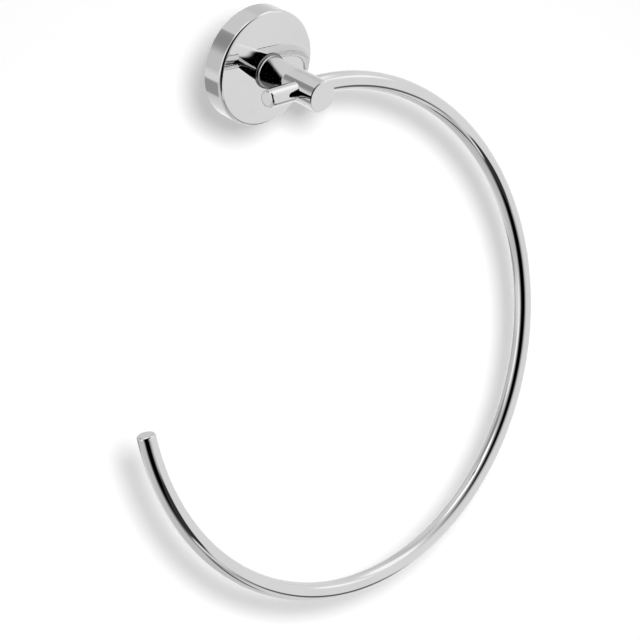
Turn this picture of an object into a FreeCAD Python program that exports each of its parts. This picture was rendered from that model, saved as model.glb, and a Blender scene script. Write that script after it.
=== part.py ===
"""Towel ring: a round wall rosette, a short round post and an open ring bent from one rod.

Millimetres. The wall is the plane Y = 0, the ring stands off it towards -Y, +X is to the right as the
ring is looked at from the room, and +Z is up. The origin is on the rosette's axis, at the wall.
"""
import FreeCAD, Part
import math
import os

# Rosette: a shallow cup, open towards the wall, with a crowned face and a flat seat for the post
rosette_d = 51.0
rosette_depth = 9.8
rosette_crown = 2.2
rosette_face_t = 1.8
rosette_skirt_t = 2.2
rosette_edge_round = 1.5
seat_margin = 0.2

# Post: a turned bar with a hollowed foot, a flatted spigot behind and a cross bore for the ring
post_d = 13.4
post_nose = 11.0
post_end_chamfer = 0.35
post_foot_round = 1.2
post_foot_edge = 0.2
spigot_shoulder = 2.2
spigot_flat_depth = 0.8
spigot_short = 0.3
post_thread_d = 5.0

# Ring: one rod, straight through the post and then bent round most of a circle
rod_d = 8.0
ring_inner_d = 213.5
ring_sweep_deg = 267.0
ring_lean_deg = 17.0
ring_standoff = 34.0
stub_reach = 21.0
bend_inset = 2.0
rod_end_chamfer = 0.45

# Wall bracket: a disc with a raised rim, and a groove round the rim for the rosette's set screw
bracket_gap = 0.8
bracket_floor_t = 2.0
bracket_rim_t = 4.0
bracket_rim_gap = 2.4
bracket_hole_d = 12.0
groove_from_wall = 3.2
groove_depth = 1.1
slot_spacing = 26.0
slot_width = 4.6
slot_length = 8.0

# Fasteners, with plain shanks in place of their threads
washer_lap = 2.5
washer_t = 1.2
washer_hole_gap = 0.25
screw_head_d = 8.5
screw_head_h = 2.6
screw_head_chamfer = 0.4
screw_engagement = 10.0
screw_socket_af = 3.0
screw_socket_depth = 1.6
ring_set_length = 6.0
ring_set_point_d = 3.0
ring_set_socket_af = 2.5
ring_set_socket_depth = 2.2
rosette_set_d = 4.0
rosette_set_point_d = 1.2
rosette_set_sunk = 0.3
rosette_set_socket_af = 2.0
rosette_set_socket_depth = 1.6

# Clearances, each on the radius or across one gap
spigot_gap = 0.05
bore_gap = 0.05
thread_gap = 0.03
set_point_gap = 0.05

# How far a cutter reaches past the faces that it opens, and how near two places count as the same
past = 1.0
same_place = 0.01

# Sizes that follow from the ones above
rosette_r = rosette_d / 2
crown_r = (rosette_r ** 2 + rosette_crown ** 2) / (2 * rosette_crown)
crown_centre = rosette_depth + rosette_crown - crown_r
post_r = post_d / 2
post_foot_r = post_r + post_foot_round
post_seat_r = post_foot_r + seat_margin
post_reach = ring_standoff + post_nose
spigot_r = post_r - spigot_shoulder
spigot_across_flats = 2 * (spigot_r - spigot_flat_depth)
washer_r = spigot_r + washer_lap
rod_r = rod_d / 2
ring_mean_r = ring_inner_d / 2 + rod_r
bend_start = post_r - bend_inset
rosette_inner_r = rosette_r - rosette_skirt_t
rosette_inside = rosette_depth - rosette_face_t
spigot_end = rosette_inside + spigot_short
bracket_r = rosette_inner_r - bracket_gap
bracket_depth = rosette_inside - bracket_rim_gap
groove_r = bracket_r - groove_depth
rod_back = ring_standoff - rod_r

AXIS_X = FreeCAD.Vector(1, 0, 0)
AXIS_Y = FreeCAD.Vector(0, 1, 0)
AXIS_Z = FreeCAD.Vector(0, 0, 1)
ORIGIN = FreeCAD.Vector(0, 0, 0)
FULL_TURN = 360.0
HEXAGON_SIDES = 6


def at(x=0.0, from_wall=0.0, z=0.0):
    """A point given by its distance out from the wall."""
    return FreeCAD.Vector(x, -from_wall, z)


def turned(outline, bows=None):
    """A solid turned about the rosette's axis from (radius, distance from wall) corners.

    The sides between corners are straight. A side in bows, under the number of its first corner,
    is an arc through the point that is given there.
    """
    corners = [at(radius, from_wall) for radius, from_wall in outline]
    sides = []
    for number, corner in enumerate(corners):
        following = corners[(number + 1) % len(corners)]
        if bows and number in bows:
            sides.append(Part.Arc(corner, at(*bows[number]), following).toShape())
        else:
            sides.append(Part.makeLine(corner, following))
    return Part.Face(Part.Wire(sides)).revolve(ORIGIN, AXIS_Y, FULL_TURN)


def face_from_wall(radius):
    """How far the rosette's crowned face stands from the wall at this distance from its axis."""
    return crown_centre + math.sqrt(crown_r ** 2 - radius ** 2)


post_seat = face_from_wall(post_seat_r)


def bar(radius, start_from_wall, end_from_wall):
    """A round bar on the rosette's axis, between two distances from the wall."""
    return Part.makeCylinder(radius, end_from_wall - start_from_wall, at(0, start_from_wall), -AXIS_Y)


def hexagon(across_flats, depth, mouth, inward):
    """A hexagonal socket cutter that goes in from its mouth."""
    corner = FreeCAD.Vector(-across_flats / 2, -across_flats, 0)
    slab = Part.makeBox(across_flats, 2 * across_flats, depth, corner)
    socket = slab
    for side in range(1, HEXAGON_SIDES // 2):
        next_slab = slab.copy()
        next_slab.rotate(ORIGIN, AXIS_Z, side * FULL_TURN / HEXAGON_SIDES)
        socket = socket.common(next_slab)
    socket.Placement = FreeCAD.Placement(mouth, FreeCAD.Rotation(AXIS_Z, inward))
    return socket


def circles(shape, centre, radius):
    """The round edges of a shape with this centre and radius."""
    found = []
    for edge in shape.Edges:
        curve = edge.Curve
        if isinstance(curve, Part.Circle) and abs(curve.Radius - radius) < same_place:
            if curve.Center.distanceToPoint(centre) < same_place:
                found.append(edge)
    return found


def flatted_bar(radius, across_flats, start_from_wall, end_from_wall):
    """A round bar with two flats, above and below, on the rosette's axis."""
    length = end_from_wall - start_from_wall
    corner = at(-radius, end_from_wall, -across_flats / 2)
    flats = Part.makeBox(2 * radius, length, across_flats, corner)
    return bar(radius, start_from_wall, end_from_wall).common(flats)


def set_screw(diameter, point_d, length, socket, tip, outward):
    """A headless screw with a 45 degree cone down to a small flat point, and a hexagon socket behind."""
    cone_length = (diameter - point_d) / 2
    cone = Part.makeCone(point_d / 2, diameter / 2, cone_length, ORIGIN, AXIS_Z)
    shank = Part.makeCylinder(diameter / 2, length - cone_length, AXIS_Z * cone_length, AXIS_Z)
    socket_af, socket_depth = socket
    screw = cone.fuse(shank).cut(hexagon(socket_af, socket_depth, AXIS_Z * length, -AXIS_Z))
    screw.Placement = FreeCAD.Placement(tip, FreeCAD.Rotation(AXIS_Z, outward))
    return screw


def make_rosette():
    """A turned cup with a rounded edge, crowned by a ball and flat where the post seats."""
    round_r = rosette_r - rosette_edge_round
    round_rise = math.sqrt((crown_r - rosette_edge_round) ** 2 - round_r ** 2)
    round_from_wall = crown_centre + round_rise
    round_start = math.atan2(round_r, round_rise)
    round_middle = (round_start + math.pi / 2) / 2
    crown_edge_r = crown_r * math.sin(round_start)
    blank_front = rosette_depth + rosette_crown + past
    outline = [
        (0, blank_front),
        (crown_edge_r, blank_front),
        (crown_edge_r, face_from_wall(crown_edge_r)),
        (rosette_r, round_from_wall),
        (rosette_r, 0),
        (rosette_inner_r, 0),
        (rosette_inner_r, rosette_inside),
        (0, rosette_inside),
    ]
    bow_r = round_r + rosette_edge_round * math.sin(round_middle)
    bow_from_wall = round_from_wall + rosette_edge_round * math.cos(round_middle)
    ball = Part.makeSphere(crown_r, at(0, crown_centre))
    cup = turned(outline, {2: (bow_r, bow_from_wall)}).common(ball)
    seat = bar(post_seat_r, post_seat, blank_front)
    hole_r = spigot_r + spigot_gap
    hole_across_flats = spigot_across_flats + 2 * spigot_gap
    hole = flatted_bar(hole_r, hole_across_flats, rosette_inside - past, post_seat + past)
    thread_r = rosette_set_d / 2 + thread_gap
    thread_start = at(0, groove_from_wall, past - rosette_inner_r)
    thread = Part.makeCylinder(thread_r, rosette_skirt_t + 2 * past, thread_start, -AXIS_Z)
    return cup.cut(seat).cut(hole).cut(thread)


def make_wall_bracket():
    rim_inner_r = bracket_r - bracket_rim_t
    outline = [
        (bracket_hole_d / 2, 0),
        (bracket_r, 0),
        (bracket_r, groove_from_wall - groove_depth),
        (groove_r, groove_from_wall),
        (bracket_r, groove_from_wall + groove_depth),
        (bracket_r, bracket_depth),
        (rim_inner_r, bracket_depth),
        (rim_inner_r, bracket_floor_t),
        (bracket_hole_d / 2, bracket_floor_t),
    ]
    bracket = turned(outline)
    for side in (-1, 1):
        bracket = bracket.cut(slot_cutter(side * slot_spacing / 2))
    return bracket


def slot_cutter(centre_x):
    """A slot through the bracket's floor, long along X."""
    radius = slot_width / 2
    half_run = slot_length / 2 - radius
    height = bracket_floor_t + 2 * past
    ends = [
        Part.makeCylinder(radius, height, at(centre_x + end * half_run, -past), -AXIS_Y)
        for end in (-1, 1)
    ]
    corner = at(centre_x - half_run, bracket_floor_t + past, -radius)
    middle = Part.makeBox(2 * half_run, height, slot_width, corner)
    return middle.fuse(ends).removeSplitter()


def make_post():
    """Its foot spreads in a hollow curve to a thin edge that lies flat on the rosette's seat."""
    foot_top = post_seat + post_foot_edge
    outline = [
        (0, post_seat),
        (post_foot_r, post_seat),
        (post_foot_r, foot_top),
        (post_r, foot_top + post_foot_round),
        (post_r, post_reach),
        (0, post_reach),
    ]
    bow_depth = post_foot_round * (1 - math.sqrt(0.5))
    body = turned(outline, {2: (post_r + bow_depth, foot_top + bow_depth)})
    body = body.makeChamfer(post_end_chamfer, circles(body, at(0, post_reach), post_r))
    spigot = flatted_bar(spigot_r, spigot_across_flats, spigot_end, post_seat)
    bore_start = at(-post_r - past, ring_standoff)
    bore = Part.makeCylinder(rod_r + bore_gap, post_d + 2 * past, bore_start, AXIS_X)
    thread = bar(post_thread_d / 2 + thread_gap, spigot_end - past, ring_standoff)
    return body.fuse(spigot).cut(bore).cut(thread)


def rod_tip(centre, outward):
    """The chamfered last slice of the rod, from its full section to its end face."""
    return Part.makeCone(rod_r, rod_r - rod_end_chamfer, rod_end_chamfer, centre, outward)


def make_ring():
    """A rod straight through the post, then bent round a centre straight below its start, then leant."""
    stub_end = at(rod_end_chamfer - stub_reach)
    bend_from = at(bend_start)
    bend_centre = at(bend_start, 0, -ring_mean_r)
    turn = FreeCAD.Rotation(AXIS_Y, ring_sweep_deg)
    free_end = turn.multVec(bend_from.sub(bend_centre)).add(bend_centre)
    straight = Part.makeCylinder(rod_r, bend_start - stub_end.x, stub_end, AXIS_X)
    section = Part.Face(Part.Wire(Part.makeCircle(rod_r, bend_from, AXIS_X)))
    bend = section.revolve(bend_centre, AXIS_Y, ring_sweep_deg)
    tips = [rod_tip(stub_end, -AXIS_X), rod_tip(free_end, turn.multVec(AXIS_X))]
    ring = straight.fuse([bend] + tips)
    ring.rotate(ORIGIN, AXIS_X, -ring_lean_deg)
    ring.translate(at(0, ring_standoff))
    return ring


def make_post_washer():
    hole_r = post_thread_d / 2 + washer_hole_gap
    washer_front = rosette_inside
    washer_back = washer_front - washer_t
    outline = [
        (hole_r, washer_back),
        (washer_r, washer_back),
        (washer_r, washer_front),
        (hole_r, washer_front),
    ]
    return turned(outline)


def make_post_screw():
    head_front = rosette_inside - washer_t
    head_back = head_front - screw_head_h
    head = bar(screw_head_d / 2, head_back, head_front)
    head = head.makeChamfer(screw_head_chamfer, circles(head, at(0, head_back), screw_head_d / 2))
    shank = bar(post_thread_d / 2, head_front, spigot_end + screw_engagement)
    socket = hexagon(screw_socket_af, screw_socket_depth, at(0, head_back), -AXIS_Y)
    return head.fuse(shank).cut(socket)


def make_ring_set_screw():
    """It lies in the post's tapped hole, behind the rod that it presses on."""
    socket = (ring_set_socket_af, ring_set_socket_depth)
    tip = at(0, rod_back - set_point_gap)
    return set_screw(post_thread_d, ring_set_point_d, ring_set_length, socket, tip, AXIS_Y)


def make_rosette_set_screw():
    """It stands in the underside of the rosette, with its cone in the bracket's groove."""
    socket = (rosette_set_socket_af, rosette_set_socket_depth)
    tip_r = groove_r + rosette_set_point_d / 2 + set_point_gap
    length = rosette_r - rosette_set_sunk - tip_r
    tip = at(0, groove_from_wall, -tip_r)
    return set_screw(rosette_set_d, rosette_set_point_d, length, socket, tip, -AXIS_Z)


PIECES = {
    "rosette": make_rosette,
    "wall_bracket": make_wall_bracket,
    "post": make_post,
    "ring": make_ring,
    "post_washer": make_post_washer,
    "post_screw": make_post_screw,
    "ring_set_screw": make_ring_set_screw,
    "rosette_set_screw": make_rosette_set_screw,
}


def main():
    os.makedirs("parts", exist_ok=True)
    for name, make in PIECES.items():
        shape = make()
        shape.exportStep(os.path.join("parts", name + ".step"))
        print(name, "solids", len(shape.Solids), "valid", shape.isValid(), "volume", round(shape.Volume, 1))


main()
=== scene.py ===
import math
from collections import namedtuple

import bmesh
import bpy
from mathutils import Matrix, Vector


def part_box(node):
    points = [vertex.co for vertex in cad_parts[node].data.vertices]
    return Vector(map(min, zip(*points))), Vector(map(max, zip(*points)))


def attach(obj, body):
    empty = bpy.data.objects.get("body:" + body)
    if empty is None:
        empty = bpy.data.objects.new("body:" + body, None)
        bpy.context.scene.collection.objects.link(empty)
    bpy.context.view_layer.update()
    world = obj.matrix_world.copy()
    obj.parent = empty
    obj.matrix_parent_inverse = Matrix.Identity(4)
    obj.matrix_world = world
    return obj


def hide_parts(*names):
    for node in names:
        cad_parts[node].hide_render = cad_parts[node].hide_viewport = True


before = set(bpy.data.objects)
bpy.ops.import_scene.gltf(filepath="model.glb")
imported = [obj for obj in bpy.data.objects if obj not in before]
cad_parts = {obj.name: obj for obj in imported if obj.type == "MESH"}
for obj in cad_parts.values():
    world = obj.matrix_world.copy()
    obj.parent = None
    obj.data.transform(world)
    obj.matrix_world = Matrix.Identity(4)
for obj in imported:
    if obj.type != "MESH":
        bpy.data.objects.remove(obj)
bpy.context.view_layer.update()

# Looks of a chromed towel ring: a bent rod through a short post on a round wall rosette.
# Metres. The wall is the plane Y = 0, the room is towards -Y, and +Z is up.

bl_info = {
    "name": "Towel ring",
    "version": (1, 0, 0),
    "blender": (4, 5, 0),
    "location": "View3D > Sidebar > Towel ring",
    "description": "Builds the finish of a chromed towel ring around its packed model",
    "category": "Object",
}

RING_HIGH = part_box("ring")[1]
BODY = "root"
FULL_TURN = 2 * math.pi
QUARTER_TURN = math.pi / 2
WHITE = (1.0, 1.0, 1.0, 1.0)
DISC_CORNERS = 96
NEAR_CLIP = 0.01
FAR_CLIP = 20.0

# Shares of a point's X, Y and Z that lay it flat on the wall
ONTO_WALL = Vector((1.0, 0.0, 1.0))

# Clouds of noise in the materials: how many a metre, their detail, and the range that counts
Clouds = namedtuple("Clouds", "scale detail low high")
CHROME_HAZE = Clouds(60.0, 4.0, 0.35, 0.7)
CHROME_WIPING = Clouds(420.0, 2.0, 0.5, 0.8)
CHROME_WAVES = Clouds(120.0, 1.0, 0.0, 1.0)
METAL_STAIN = Clouds(90.0, 3.0, 0.3, 0.75)
CARD_FIBRE = Clouds(300.0, 3.0, 0.0, 1.0)

# Grain of the hidden metals: their roughness, its spots a metre and its depth in metres
Grain = namedtuple("Grain", "roughness spots depth")
CASTING_GRAIN = Grain(0.42, 2200.0, 6e-5)
PLATING_GRAIN = Grain(0.3, 1500.0, 1e-5)
STEEL_GRAIN = Grain(0.36, 1800.0, 1e-5)
GRAIN_DETAIL = 5.0
GRAIN_STRENGTH = 0.6
GRAIN_MIDDLE = 0.5
WAVE_STRENGTH = 1.0

# Cards and dark openings of the studio, on the flat chart that StudioChart describes: ovals with
# a tilt in degrees, the softness of their edge and their brightness, each over the ones before
Card = namedtuple("Card", "what centre half_size tilt softness level")
STUDIO_CARDS = (
    Card("pale wall at the left", (-0.66, -0.17), (0.14, 0.12), 0.0, 0.60, 0.92),
    Card("pale wall at the lower left", (-0.66, -0.62), (0.10, 0.22), 27.0, 0.60, 0.92),
    Card("pale ceiling", (-0.22, 0.72), (0.24, 0.14), -25.0, 0.70, 0.82),
    Card("tall soft box", (-0.44, -0.03), (0.09, 0.30), 0.0, 0.50, 1.25),
    Card("upper soft box", (-0.16, 0.45), (0.21, 0.11), 35.0, 0.60, 1.60),
    Card("soft box overhead", (0.35, 0.54), (0.09, 0.22), 28.0, 0.80, 1.30),
    Card("strip light at the right", (0.60, 0.33), (0.06, 0.12), 15.0, 0.60, 1.50),
    Card("grey flag at the upper left", (-0.50, 0.36), (0.18, 0.12), 56.0, 0.95, 0.34),
    Card("white edge over the flag", (-0.365, 0.563), (0.20, 0.10), -34.0, 0.12, 0.82),
    Card("grey flag at the lower left", (-0.79, -0.31), (0.06, 0.10), 0.0, 0.40, 0.38),
    Card("dark room behind the camera", (0.15, -0.12), (0.42, 0.49), 0.0, 0.45, 0.0),
    Card("white side of the dark room", (0.56, -0.02), (0.31, 0.34), 0.0, 0.98, 0.95),
    Card("dark tail of the room", (0.36, -0.39), (0.21, 0.06), 28.0, 0.50, 0.04),
    Card("light gap below the tail", (0.31, -0.525), (0.15, 0.03), 20.0, 0.40, 0.90),
    Card("light gap beside the tail", (0.52, -0.375), (0.14, 0.03), 44.0, 0.40, 0.90),
    Card("grey doorway below", (0.18, -0.70), (0.06, 0.10), 0.0, 0.50, 0.10),
    Card("dark doorway at the right", (0.545, -0.56), (0.11, 0.16), 0.0, 0.60, 0.14),
    Card("white card that the rosette faces", (0.66, -0.34), (0.16, 0.19), 0.0, 0.20, 0.95),
)

# The same for light that the towel ring itself has mirrored once already, and the count of
# mirrorings between which the first studio gives way to it
SECOND_BOUNCE = (1.4, 1.6)
SECOND_TONE = 1.2
SECOND_CARDS = (
    Card("dark room at the left", (-0.55, -0.40), (0.30, 0.55), 25.0, 0.20, 0.05),
    Card("grey floor", (0.25, -0.58), (0.40, 0.16), 10.0, 0.40, 0.20),
    Card("dark room behind the camera", (0.24, -0.18), (0.52, 0.40), 38.0, 0.10, 0.0),
    Card("white side of the dark room", (0.42, -0.20), (0.30, 0.31), 0.0, 0.10, 1.35),
)

# The bare walls: tones from left to right on the chart and at the back of the studio, where each
# change runs across the chart, and the square of the distance from its middle where the back starts
WALL_TONE = 0.58
MIDDLE_TONE = 0.72
RIGHT_TONE = 0.94
BACK_TONE = 1.0
LEFT_CHANGE = (-0.95, -0.70)
RIGHT_CHANGE = (-0.1, 0.55)
BACK_CHANGE = (0.85, 1.0)

# What the chart divides by never falls under the root of this, so its rim stays finite
RIM_GUARD = 0.02

# Shader maths


class Wire:
    """An output socket that takes part in Python arithmetic, which adds its Math nodes."""

    def __init__(self, tree, socket):
        self.tree = tree
        self.socket = socket

    def maths(self, operation, *terms):
        return self.tree.node("ShaderNodeMath", {"operation": operation}, dict(enumerate(terms)))

    def __add__(self, other):
        return self.maths("ADD", self, other)

    def __radd__(self, other):
        return self.maths("ADD", other, self)

    def __sub__(self, other):
        return self.maths("SUBTRACT", self, other)

    def __rsub__(self, other):
        return self.maths("SUBTRACT", other, self)

    def __mul__(self, other):
        return self.maths("MULTIPLY", self, other)

    def __rmul__(self, other):
        return self.maths("MULTIPLY", other, self)

    def __truediv__(self, other):
        return self.maths("DIVIDE", self, other)

    def __pow__(self, other):
        return self.maths("POWER", self, other)

    def at_least(self, low):
        return self.maths("MAXIMUM", self, low)


class ShaderTree:
    """The node tree of a material or of the world, emptied and then filled by node()."""

    def __init__(self, owner):
        owner.use_nodes = True
        self.nodes = owner.node_tree.nodes
        self.links = owner.node_tree.links
        self.nodes.clear()

    def node(self, kind, settings=None, inputs=None, output=0):
        """Adds a node, sets its settings and then its sockets, and returns one of its outputs."""
        made = self.nodes.new(kind)
        for name, value in (settings or {}).items():
            setattr(made, name, value)
        for name, value in (inputs or {}).items():
            socket = self.pick(made.inputs, name)
            if isinstance(value, Wire):
                self.links.new(value.socket, socket)
            else:
                socket.default_value = value
        return Wire(self, self.pick(made.outputs, output)) if made.outputs else None

    @staticmethod
    def pick(sockets, name):
        """A socket by its number, or the one in use that has this name."""
        if isinstance(name, int):
            return sockets[name]
        return next(socket for socket in sockets if socket.name == name and socket.enabled)

    def smooth_step(self, value, low, high):
        """0 where the value is at low, 1 where it is at high, and a smooth change between."""
        settings = {"interpolation_type": "SMOOTHSTEP"}
        inputs = {"Value": value, "From Min": low, "From Max": high}
        return self.node("ShaderNodeMapRange", settings, inputs)

    def along(self, vector, axis):
        """How far a vector reaches along a fixed direction."""
        settings = {"operation": "DOT_PRODUCT"}
        return self.node("ShaderNodeVectorMath", settings, {0: vector, 1: axis}, "Value")

    def length(self, vector):
        """How long a vector is."""
        return self.node("ShaderNodeVectorMath", {"operation": "LENGTH"}, {0: vector}, "Value")

    def flatten(self, vector, shares):
        """A vector with each of its parts times its share."""
        return self.node("ShaderNodeVectorMath", {"operation": "MULTIPLY"}, {0: vector, 1: shares})

    def mix(self, factor, first, second):
        """A colour between two colours."""
        inputs = {"Factor": factor, "A": first, "B": second}
        return self.node("ShaderNodeMix", {"data_type": "RGBA"}, inputs, "Result")

    def noise(self, place, scale, detail):
        """Cloudy noise from 0 to 1, with about this many clouds a metre."""
        return self.node("ShaderNodeTexNoise", None, {"Vector": place, "Scale": scale, "Detail": detail})

    def clouds(self, place, kind):
        """Noise of one of the kinds above, as 0 below its range and 1 over it."""
        return self.smooth_step(self.noise(place, kind.scale, kind.detail), kind.low, kind.high)

    def place(self):
        """Where a point lies on the object, in metres."""
        return self.node("ShaderNodeTexCoord", output="Object")


def shade(colour, share):
    """The colour made darker or lighter, with full alpha."""
    return (colour[0] * share, colour[1] * share, colour[2] * share, 1.0)


# Materials


def new_material(name):
    material = bpy.data.materials.new(name)
    return material, ShaderTree(material)


def polished_chrome(name, finish, bar_radius=None):
    """Mirror chrome: a faint haze, a few wiping marks and the slow waviness of buffed metal.
    Round a bar of this radius the chrome gets painted shade: it turns darker, and rougher, on the flared
    foot where the bar meets the rosette."""
    material, tree = new_material(name)
    place = tree.place()
    haze = tree.clouds(place, CHROME_HAZE)
    wiping = tree.clouds(place, CHROME_WIPING)
    hazy = shade(finish.chrome_colour, finish.haze_tone)
    colour = tree.mix(haze, shade(finish.chrome_colour, 1.0), hazy)
    roughness = finish.chrome_roughness + finish.haze_roughness * haze + finish.wiping_roughness * wiping
    # Painted shade: past the bar's radius, on the flared foot where the post meets the rosette, the chrome
    # colour is darkened and its roughness raised.
    if bar_radius:
        from_axis = tree.length(tree.flatten(place, ONTO_WALL))
        painted_shade = tree.smooth_step(from_axis, bar_radius, bar_radius + finish.painted_shade_width)
        colour = tree.mix(painted_shade, colour, shade(finish.chrome_colour, finish.painted_shade_tone))
        roughness = roughness + finish.hollow_roughness * painted_shade
    height = tree.clouds(place, CHROME_WAVES)
    waves = {"Strength": WAVE_STRENGTH, "Distance": finish.wave_depth, "Height": height}
    bump = tree.node("ShaderNodeBump", None, waves)
    metal = {"Base Color": colour, "Metallic": 1.0, "Roughness": roughness, "Normal": bump}
    surface = tree.node("ShaderNodeBsdfPrincipled", None, metal)
    tree.node("ShaderNodeOutputMaterial", None, {"Surface": surface})
    return material


def dull_metal(name, finish, colour, grain):
    """Cast or plated metal with one of the grains above, and a few stains."""
    material, tree = new_material(name)
    place = tree.place()
    spots = tree.noise(place, grain.spots, GRAIN_DETAIL)
    stain = tree.clouds(place, METAL_STAIN)
    tint = tree.mix(stain, shade(colour, finish.clean_tone), shade(colour, finish.stain_tone))
    unevenness = finish.grain_roughness * (spots - GRAIN_MIDDLE)
    roughness = grain.roughness + unevenness + finish.stain_roughness * stain
    relief = {"Strength": GRAIN_STRENGTH, "Distance": grain.depth, "Height": spots}
    bump = tree.node("ShaderNodeBump", None, relief)
    metal = {"Base Color": tint, "Metallic": 1.0, "Roughness": roughness, "Normal": bump}
    surface = tree.node("ShaderNodeBsdfPrincipled", None, metal)
    tree.node("ShaderNodeOutputMaterial", None, {"Surface": surface})
    return material


def dress(node, material):
    """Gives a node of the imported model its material."""
    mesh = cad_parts[node].data
    mesh.materials.clear()
    mesh.materials.append(material)


# Settings


class RingSizes(bpy.types.PropertyGroup):
    rod_radius: bpy.props.FloatProperty(
        name="Rod radius", description="Half the rod's thickness",
        default=0.004, unit="LENGTH", precision=4,
    )
    post_radius: bpy.props.FloatProperty(
        name="Post radius", description="Half the post's thickness",
        default=0.0067, unit="LENGTH", precision=4,
    )
    bend_radius: bpy.props.FloatProperty(
        name="Bend radius", description="From the ring's centre to the middle of the rod",
        default=0.11075, unit="LENGTH", precision=4,
    )
    bend_start: bpy.props.FloatProperty(
        name="Bend start", description="Where the straight run ends, to the right of the post's axis",
        default=0.0047, unit="LENGTH", precision=4,
    )
    stub_reach: bpy.props.FloatProperty(
        name="Stub reach", description="How far the straight end stands out to the left of the post's axis",
        default=0.021, unit="LENGTH", precision=4,
    )
    sweep: bpy.props.FloatProperty(
        name="Sweep", description="How far round the rod is bent",
        default=math.radians(267), subtype="ANGLE",
    )
    lean: bpy.props.FloatProperty(
        name="Lean", description="How far the ring's lower side stands out from the wall",
        default=math.radians(17), subtype="ANGLE",
    )
    tip_round: bpy.props.FloatProperty(
        name="Tip round", description="Radius of the edge round each end face",
        default=0.0012, unit="LENGTH", precision=5,
    )
    row_length: bpy.props.FloatProperty(
        name="Row length", description="Distance between the mesh's rows along the rod",
        default=0.0012, unit="LENGTH", precision=4,
    )
    around: bpy.props.IntProperty(
        name="Points around", description="Points of the mesh in one row", default=72, min=12
    )
    tip_rows: bpy.props.IntProperty(
        name="Tip rows", description="Rows of the mesh in the edge round each end face", default=8, min=2
    )


class MetalFinish(bpy.types.PropertyGroup):
    chrome_colour: bpy.props.FloatVectorProperty(
        name="Chrome", description="Colour of the chrome plate",
        default=(0.7, 0.7, 0.7), subtype="COLOR",
    )
    chrome_roughness: bpy.props.FloatProperty(
        name="Chrome roughness", description="Roughness of the cleanest chrome",
        default=0.03, subtype="FACTOR",
    )
    haze_tone: bpy.props.FloatProperty(
        name="Haze tone", description="Brightness of the hazy chrome",
        default=0.97, subtype="FACTOR",
    )
    haze_roughness: bpy.props.FloatProperty(
        name="Haze roughness", description="Added where the chrome is hazy",
        default=0.012, subtype="FACTOR",
    )
    wiping_roughness: bpy.props.FloatProperty(
        name="Wiping roughness", description="Added at the wiping marks",
        default=0.008, subtype="FACTOR",
    )
    wave_depth: bpy.props.FloatProperty(
        name="Wave depth", description="Depth of the buffed metal's waviness",
        default=2e-6, unit="LENGTH", precision=6,
    )
    # The painted shade on the post's flared foot: how soon it starts past the post's radius, how dark it
    # paints the chrome, and the roughness added there.
    painted_shade_width: bpy.props.FloatProperty(
        name="Hollow width", description="How soon the post's hollow foot turns dark",
        default=0.0003, unit="LENGTH", precision=5,
    )
    painted_shade_tone: bpy.props.FloatProperty(
        name="Hollow tone", description="Brightness of the chrome in the hollow",
        default=0.3, subtype="FACTOR",
    )
    hollow_roughness: bpy.props.FloatProperty(
        name="Hollow roughness", description="Added in the hollow",
        default=0.1, subtype="FACTOR",
    )
    clean_tone: bpy.props.FloatProperty(
        name="Clean tone", description="Brightness of the hidden metals where they are clean",
        default=1.06,
    )
    stain_tone: bpy.props.FloatProperty(
        name="Stain tone", description="Brightness of the hidden metals where they are stained",
        default=0.86,
    )
    grain_roughness: bpy.props.FloatProperty(
        name="Grain roughness", description="How far the grain of the hidden metals changes them",
        default=0.14,
    )
    stain_roughness: bpy.props.FloatProperty(
        name="Stain roughness", description="Added where the hidden metals are stained",
        default=0.06,
    )
    casting_colour: bpy.props.FloatVectorProperty(
        name="Casting", description="Colour of the cast wall bracket",
        default=(0.56, 0.57, 0.58), subtype="COLOR",
    )
    plating_colour: bpy.props.FloatVectorProperty(
        name="Plating", description="Colour of the zinc plated screw and washer",
        default=(0.66, 0.67, 0.68), subtype="COLOR",
    )
    steel_colour: bpy.props.FloatVectorProperty(
        name="Steel", description="Colour of the set screws",
        default=(0.42, 0.42, 0.43), subtype="COLOR",
    )


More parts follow.
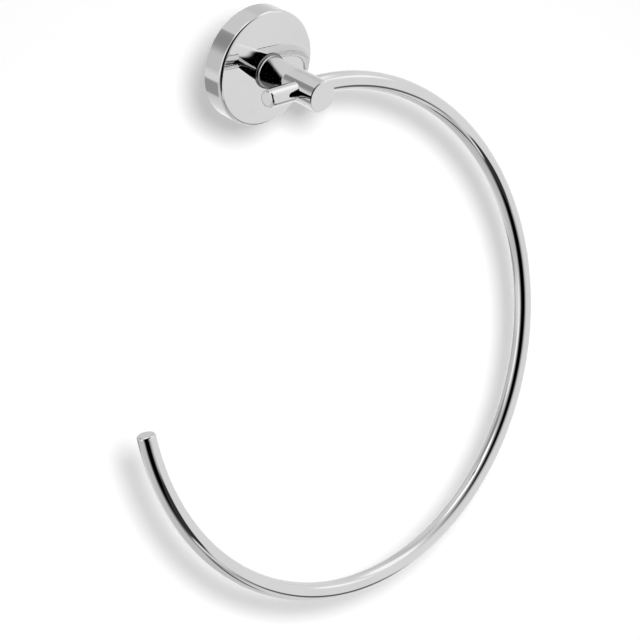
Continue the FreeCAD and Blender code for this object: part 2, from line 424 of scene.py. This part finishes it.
class StudioSettings(bpy.types.PropertyGroup):
    azimuth: bpy.props.FloatProperty(
        name="Azimuth", description="Turn of the camera about the upright axis, 0 looks along +Y",
        default=math.radians(-44.549), subtype="ANGLE",
    )
    elevation: bpy.props.FloatProperty(
        name="Elevation", description="Height of the camera above the horizon",
        default=math.radians(29.385), subtype="ANGLE",
    )
    roll: bpy.props.FloatProperty(
        name="Roll", description="Turn of the camera about its own view",
        default=math.radians(4.511), subtype="ANGLE",
    )
    target: bpy.props.FloatVectorProperty(
        name="Target", description="The point in the middle of the view",
        default=(0.036012, -0.017, -0.129914), subtype="XYZ", unit="LENGTH", precision=4,
    )
    distance: bpy.props.FloatProperty(
        name="Distance", description="From the camera to the target",
        default=0.896376, unit="LENGTH", precision=4,
    )
    lens: bpy.props.FloatProperty(
        name="Lens", description="Focal length for a 36 mm sensor",
        default=109.075, unit="CAMERA",
    )
    backdrop_distance: bpy.props.FloatProperty(
        name="Backdrop distance", description="From the target to the backdrop",
        default=1.3, unit="LENGTH",
    )
    floor_height: bpy.props.FloatProperty(
        name="Floor height", description="Height of the floor", default=-1.3, unit="LENGTH"
    )
    shadow_shift: bpy.props.FloatVectorProperty(
        name="Shadow lamp shift", description="From the camera to the lamp, to the right and up",
        size=2, default=(0.0117, 0.0101), unit="LENGTH", precision=4,
    )
    shadow_lamp_size: bpy.props.FloatProperty(
        name="Shadow lamp size", description="Diameter of the lamp that casts the shadow",
        default=0.02, unit="LENGTH",
    )
    plain_level: bpy.props.FloatProperty(
        name="Plain level", description="Even light of the studio on a matt surface",
        default=0.5, min=0.0,
    )
    lamp_level: bpy.props.FloatProperty(
        name="Lamp level", description="Light of the shadow lamp on the backdrop",
        default=0.515, min=0.0,
    )
    backdrop_radius: bpy.props.FloatProperty(
        name="Backdrop radius", description="Half the backdrop's width",
        default=0.9, unit="LENGTH",
    )
    backdrop_colour: bpy.props.FloatVectorProperty(
        name="Backdrop", description="Colour of the backdrop",
        default=(0.99, 0.99, 0.99), subtype="COLOR",
    )
    floor_radius: bpy.props.FloatProperty(
        name="Floor radius", description="Half the floor's width", default=2.5, unit="LENGTH"
    )
    floor_colour: bpy.props.FloatVectorProperty(
        name="Floor", description="Colour of the floor",
        default=(0.9, 0.9, 0.9), subtype="COLOR",
    )
    floor_glow: bpy.props.FloatProperty(
        name="Floor glow", description="Share of the floor's own light that the camera sees",
        default=0.8, subtype="FACTOR",
    )
    sheet_tone: bpy.props.FloatProperty(
        name="Sheet tone", description="Brightness of the card's darker fibres",
        default=0.995, subtype="FACTOR",
    )
    sheet_fade: bpy.props.FloatProperty(
        name="Sheet fade", description="Share of its radius where the floor or backdrop starts to fade",
        default=0.75, subtype="FACTOR",
    )


# Meshes


def new_piece(name, mesh_maker, material, nodes):
    """Makes a piece of the object from a bmesh and lets it stand for its nodes."""
    form = bmesh.new()
    mesh_maker(form)
    bmesh.ops.recalc_face_normals(form, faces=form.faces)
    mesh = bpy.data.meshes.new(name)
    form.to_mesh(mesh)
    form.free()
    mesh.materials.append(material)
    piece = bpy.data.objects.new(name, mesh)
    bpy.context.scene.collection.objects.link(piece)
    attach(piece, BODY)
    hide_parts(*nodes)


def bridge(form, first, second):
    """Smooth quads between two closed rows of as many points."""
    count = len(first)
    for index in range(count):
        after = (index + 1) % count
        form.faces.new((first[index], first[after], second[after], second[index])).smooth = True


def cap(form, row):
    """A flat face with a crisp edge on a closed row of points."""
    face = form.faces.new(row)
    face.smooth = True
    for edge in face.edges:
        edge.smooth = False


def centre_line(sizes, travel):
    """The place and the outward side of the rod after this travel from the post's axis."""
    turn = max(0.0, travel - sizes.bend_start) / sizes.bend_radius
    straight = min(travel, sizes.bend_start)
    outward = Vector((math.sin(turn), 0.0, math.cos(turn)))
    place = Vector((straight, 0.0, -sizes.bend_radius)) + sizes.bend_radius * outward
    return place, outward


def ring_mesh(sizes):
    """Returns the maker of the rod's mesh: rings of points along its centre line, and rounded tips."""
    start = -sizes.stub_reach
    end = sizes.bend_start + sizes.sweep * sizes.bend_radius
    tip_round = sizes.tip_round
    standing = Matrix.Translation((0.0, RING_HIGH.y - sizes.rod_radius, 0.0))
    leant = standing @ Matrix.Rotation(-sizes.lean, 4, "X")
    side = Vector((0.0, 1.0, 0.0))

    def stations():
        """Each row's travel along the rod and its radius."""
        tip = []
        for row in range(sizes.tip_rows + 1):
            turn = QUARTER_TURN * row / sizes.tip_rows
            inset = tip_round * (1 - math.cos(turn))
            tip.append((inset, sizes.rod_radius - tip_round + tip_round * math.sin(turn)))
        plain_length = end - start - 2 * tip_round
        steps = round(plain_length / sizes.row_length)
        for inset, radius in tip:
            yield start + inset, radius
        for step in range(1, steps):
            yield start + tip_round + step * plain_length / steps, sizes.rod_radius
        for inset, radius in reversed(tip):
            yield end - inset, radius

    def make(form):
        rows = []
        for travel, radius in stations():
            place, outward = centre_line(sizes, travel)
            row = []
            for index in range(sizes.around):
                turn = FULL_TURN * index / sizes.around
                arm = math.cos(turn) * outward + math.sin(turn) * side
                row.append(form.verts.new(leant @ (place + radius * arm)))
            rows.append(row)
        for first, second in zip(rows, rows[1:]):
            bridge(form, first, second)
        cap(form, rows[0])
        cap(form, rows[-1])

    return make


# The stage


def studio_axes(studio):
    """Right, up and backwards as the camera has them."""
    turn, height, roll = studio.azimuth, studio.elevation, studio.roll
    level = math.cos(height)
    back = Vector((math.sin(turn) * level, -math.cos(turn) * level, math.sin(height)))
    right = Vector((math.cos(turn), math.sin(turn), 0.0))
    up = back.cross(right)
    rolled_right = math.cos(roll) * right + math.sin(roll) * up
    rolled_up = math.cos(roll) * up - math.sin(roll) * right
    return rolled_right, rolled_up, back


def facing(place, right, up, back):
    """The placement of an object whose own X, Y and Z are these directions."""
    turned = Matrix((right, up, back)).transposed().to_4x4()
    return Matrix.Translation(place) @ turned


def stage_disc(name, radius, placement, material):
    """A round flat stage piece."""
    form = bmesh.new()
    bmesh.ops.create_circle(form, cap_ends=True, segments=DISC_CORNERS, radius=radius)
    mesh = bpy.data.meshes.new(name)
    form.to_mesh(mesh)
    form.free()
    mesh.materials.append(material)
    disc = bpy.data.objects.new(name, mesh)
    bpy.context.scene.collection.objects.link(disc)
    disc.matrix_world = placement
    return disc


def pale_sheet(name, studio, radius, colour, glow):
    """White card for the floor and backdrop. It glows to the camera by a share, and its rim fades out."""
    material, tree = new_material(name)
    place = tree.place()
    from_middle = tree.length(place)
    seen = tree.node("ShaderNodeLightPath", output="Is Camera Ray")
    fibres = tree.clouds(place, CARD_FIBRE)
    tone = tree.mix(fibres, shade(colour, 1.0), shade(colour, studio.sheet_tone))
    card = tree.node("ShaderNodeBsdfDiffuse", None, {"Color": tone})
    light = tree.node("ShaderNodeEmission", None, {"Color": WHITE})
    front = tree.node("ShaderNodeMixShader", None, {0: seen * glow, 1: card, 2: light})
    fade = tree.smooth_step(from_middle, radius, studio.sheet_fade * radius)
    gone = tree.node("ShaderNodeBsdfTransparent")
    surface = tree.node("ShaderNodeMixShader", None, {0: fade, 1: gone, 2: front})
    tree.node("ShaderNodeOutputMaterial", None, {"Surface": surface})
    return material


class StudioChart:
    """The studio round the object on a flat chart: every direction is a point in a disc, and the
    camera's own side is in the middle. A direction's parts across and up are divided by the length
    of that direction and the camera's side added together, as a mirror ball would show them. Light
    cards and dark openings are ovals on the chart."""

    def __init__(self, tree, axes):
        self.tree = tree
        direction = tree.node("ShaderNodeTexCoord", output="Generated")
        right, up, back = axes
        added = (2.0 + 2.0 * tree.along(direction, back)).at_least(RIM_GUARD) ** 0.5
        self.across = tree.along(direction, right) / added
        self.above = tree.along(direction, up) / added

    def oval(self, card):
        """1 inside a card's oval and 0 outside it, with its soft edge."""
        cosine = math.cos(math.radians(card.tilt))
        sine = math.sin(math.radians(card.tilt))
        across = self.across - card.centre[0]
        above = self.above - card.centre[1]
        wide = (cosine * across + sine * above) / card.half_size[0]
        tall = (cosine * above - sine * across) / card.half_size[1]
        return self.tree.smooth_step(wide * wide + tall * tall, 1.0 + card.softness, 1.0 - card.softness)

    def hang(self, tone, cards):
        """The studio's tone with these cards hung in it, each over the ones before."""
        for card in cards:
            tone = tone + (card.level - tone) * self.oval(card)
        return tone

    def walls(self):
        """The tone of the bare studio: darker at the left, and white at the back."""
        tree = self.tree
        tone = WALL_TONE + (MIDDLE_TONE - WALL_TONE) * tree.smooth_step(self.across, *LEFT_CHANGE)
        tone = tone + (RIGHT_TONE - MIDDLE_TONE) * tree.smooth_step(self.across, *RIGHT_CHANGE)
        from_middle = self.across * self.across + self.above * self.above
        return tone + (BACK_TONE - tone) * tree.smooth_step(from_middle, *BACK_CHANGE)


def studio_world(studio, axes):
    """White studio: plain light on matt surfaces, white to the camera, and cards in the reflections."""
    world = bpy.data.worlds.new("studio")
    bpy.context.scene.world = world
    tree = ShaderTree(world)
    chart = StudioChart(tree, axes)
    first = chart.hang(chart.walls(), STUDIO_CARDS)
    second = chart.hang(SECOND_TONE, SECOND_CARDS)
    bounces = tree.node("ShaderNodeLightPath", output="Glossy Depth")
    tone = first + (second - first) * tree.smooth_step(bounces, *SECOND_BOUNCE)
    camera_ray = tree.node("ShaderNodeLightPath", output="Is Camera Ray")
    glossy_ray = tree.node("ShaderNodeLightPath", output="Is Glossy Ray")
    matt_share = 1.0 - camera_ray - glossy_ray
    strength = camera_ray + glossy_ray * tone + studio.plain_level * matt_share
    light = tree.node("ShaderNodeBackground", None, {"Color": WHITE, "Strength": strength})
    tree.node("ShaderNodeOutputWorld", None, {"Surface": light})


def shadow_lamp(studio, axes, camera_place):
    """A small lamp beside the camera that casts the soft shadow, and isn't mirrored by the metal.
    Its level is the light on a white card as far away as the backdrop."""
    right, up, back = axes
    light = bpy.data.lights.new("shadow_lamp", "AREA")
    light.shape = "DISK"
    light.size = studio.shadow_lamp_size
    depth = studio.distance + studio.backdrop_distance
    light.energy = studio.lamp_level * math.pi * math.pi * depth * depth
    lamp = bpy.data.objects.new("shadow_lamp", light)
    bpy.context.scene.collection.objects.link(lamp)
    place = camera_place + studio.shadow_shift[0] * right + studio.shadow_shift[1] * up
    lamp.matrix_world = facing(place, right, up, back)
    lamp.visible_glossy = False
    lamp.visible_camera = False


# Operators


def settings():
    return bpy.context.scene.towel_ring


class TOWELRING_OT_ring(bpy.types.Operator):
    """Builds the polished rod over its node"""

    bl_idname = "towelring.ring"
    bl_label = "Ring"

    def execute(self, context):
        sizes = settings().ring
        chrome = polished_chrome("chrome_rod", settings().finish)
        new_piece("polished_ring", ring_mesh(sizes), chrome, ["ring"])
        return {"FINISHED"}


class TOWELRING_OT_rosette_and_post(bpy.types.Operator):
    """Chromes the rosette and the post"""

    bl_idname = "towelring.rosette_and_post"
    bl_label = "Rosette and post"

    def execute(self, context):
        finish = settings().finish
        dress("rosette", polished_chrome("chrome_rosette", finish))
        # The post's chrome gets painted shade on its flared foot, where it meets the rosette.
        dress("post", polished_chrome("chrome_post", finish, settings().ring.post_radius))
        return {"FINISHED"}


class TOWELRING_OT_hidden_metal(bpy.types.Operator):
    """Finishes the wall bracket and the fasteners behind the rosette"""

    bl_idname = "towelring.hidden_metal"
    bl_label = "Bracket and fasteners"

    def execute(self, context):
        finish = settings().finish
        casting = dull_metal("zinc_casting", finish, finish.casting_colour, CASTING_GRAIN)
        dress("wall_bracket", casting)
        plating = dull_metal("zinc_plated_steel", finish, finish.plating_colour, PLATING_GRAIN)
        dress("post_washer", plating)
        dress("post_screw", plating)
        steel = dull_metal("plain_steel", finish, finish.steel_colour, STEEL_GRAIN)
        dress("ring_set_screw", steel)
        dress("rosette_set_screw", steel)
        return {"FINISHED"}


class TOWELRING_OT_stage(bpy.types.Operator):
    """Sets up the camera, the floor, the backdrop and the light"""

    bl_idname = "towelring.stage"
    bl_label = "Stage"

    def execute(self, context):
        studio = settings().studio
        axes = studio_axes(studio)
        right, up, back = axes
        target = Vector(studio.target)
        camera_place = target + studio.distance * back
        lens = bpy.data.cameras.new("camera")
        lens.lens = studio.lens
        lens.clip_start = NEAR_CLIP
        lens.clip_end = FAR_CLIP
        camera = bpy.data.objects.new("camera", lens)
        context.scene.collection.objects.link(camera)
        camera.matrix_world = facing(camera_place, right, up, back)
        context.scene.camera = camera
        context.scene.view_settings.view_transform = "Standard"
        behind = target - studio.backdrop_distance * back
        card = pale_sheet("pale_card", studio, studio.backdrop_radius, studio.backdrop_colour, 0.0)
        stage_disc("backdrop", studio.backdrop_radius, facing(behind, right, up, back), card)
        colour, glow = studio.floor_colour, studio.floor_glow
        boards = pale_sheet("pale_floor", studio, studio.floor_radius, colour, glow)
        level = Matrix.Translation((0.0, 0.0, studio.floor_height))
        floor = stage_disc("floor", studio.floor_radius, level, boards)
        floor.visible_glossy = False
        studio_world(studio, axes)
        shadow_lamp(studio, axes, camera_place)
        return {"FINISHED"}


class TowelRingSettings(bpy.types.PropertyGroup):
    ring: bpy.props.PointerProperty(
        type=RingSizes, name="Ring", description="Sizes of the bent rod"
    )
    finish: bpy.props.PointerProperty(
        type=MetalFinish, name="Finish", description="Colours of the metals"
    )
    studio: bpy.props.PointerProperty(
        type=StudioSettings, name="Studio", description="Camera, stage and light"
    )


OPERATORS = (
    TOWELRING_OT_ring,
    TOWELRING_OT_rosette_and_post,
    TOWELRING_OT_hidden_metal,
    TOWELRING_OT_stage,
)


class TOWELRING_PT_panel(bpy.types.Panel):
    """Lists the steps that build the towel ring's looks"""

    bl_idname = "TOWELRING_PT_panel"
    bl_label = "Towel ring"
    bl_space_type = "VIEW_3D"
    bl_region_type = "UI"
    bl_category = "Towel ring"

    def draw(self, context):
        for operator in OPERATORS:
            self.layout.operator(operator.bl_idname)


CLASSES = (RingSizes, MetalFinish, StudioSettings, TowelRingSettings) + OPERATORS + (TOWELRING_PT_panel,)


def register():
    for item in CLASSES:
        bpy.utils.register_class(item)
    bpy.types.Scene.towel_ring = bpy.props.PointerProperty(type=TowelRingSettings)


def unregister():
    del bpy.types.Scene.towel_ring
    for item in reversed(CLASSES):
        bpy.utils.unregister_class(item)


def main():
    register()
    bpy.ops.towelring.ring()
    bpy.ops.towelring.rosette_and_post()
    bpy.ops.towelring.hidden_metal()
    bpy.ops.towelring.stage()


if __name__ == "__main__":
    main()
